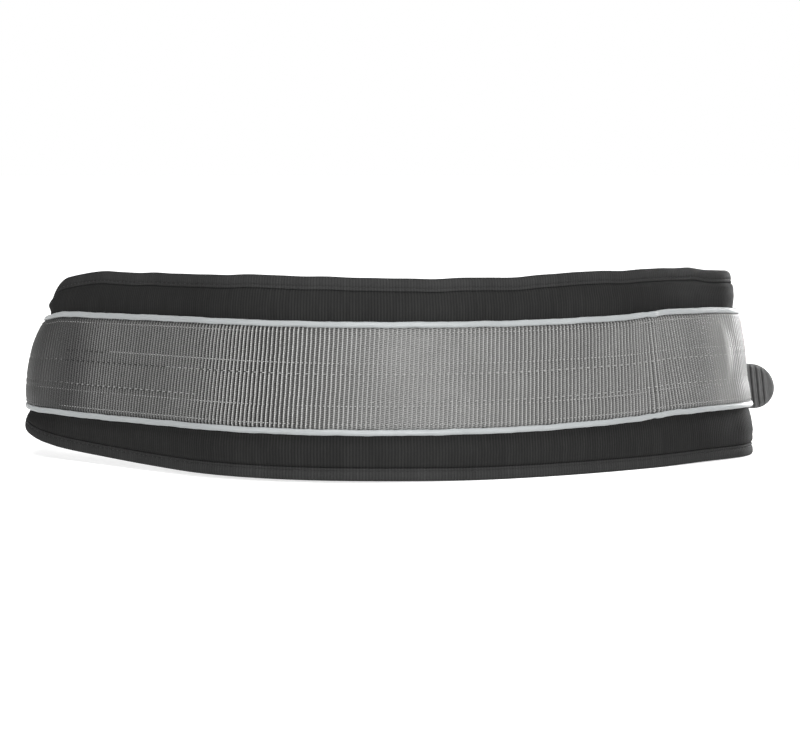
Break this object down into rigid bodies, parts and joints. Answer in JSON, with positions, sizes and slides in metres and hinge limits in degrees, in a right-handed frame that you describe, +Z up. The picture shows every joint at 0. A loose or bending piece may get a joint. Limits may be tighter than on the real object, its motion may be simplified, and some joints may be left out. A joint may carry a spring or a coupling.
{
  "type": "canicross belt",
  "caption": "Padded hip belt closed as a loop, with a piped webbing strap round it, a hook-and-loop lap and a ribbed rubber pull tab.",
  "frame": {"origin": "on the floor under the middle of the belt's bounding box", "axes": "+X along the belt's width towards the pull tab, +Y from the side seen in the picture (the back of the belt) to the closure, +Z up through the waist opening"},
  "size_m": [0.41, 0.2226, 0.1016],
  "materials": {
    "padded_band": "black ribbed knit over foam",
    "edge_binding": "black turned knit hem, topstitched",
    "webbing": "grey ribbed woven webbing",
    "piping": "light grey piping, slightly glossy",
    "hook_patch": "black hook tape",
    "pull_tab": "dark grey ribbed rubber"
  },
  "bodies": {
    "root": {"padded_band": "padded_band", "edge_binding": "edge_binding", "webbing": "webbing", "upper_piping": "piping", "lower_piping": "piping", "hook_patch": "hook_patch", "pull_tab": "pull_tab"}
  },
  "joints": []
}
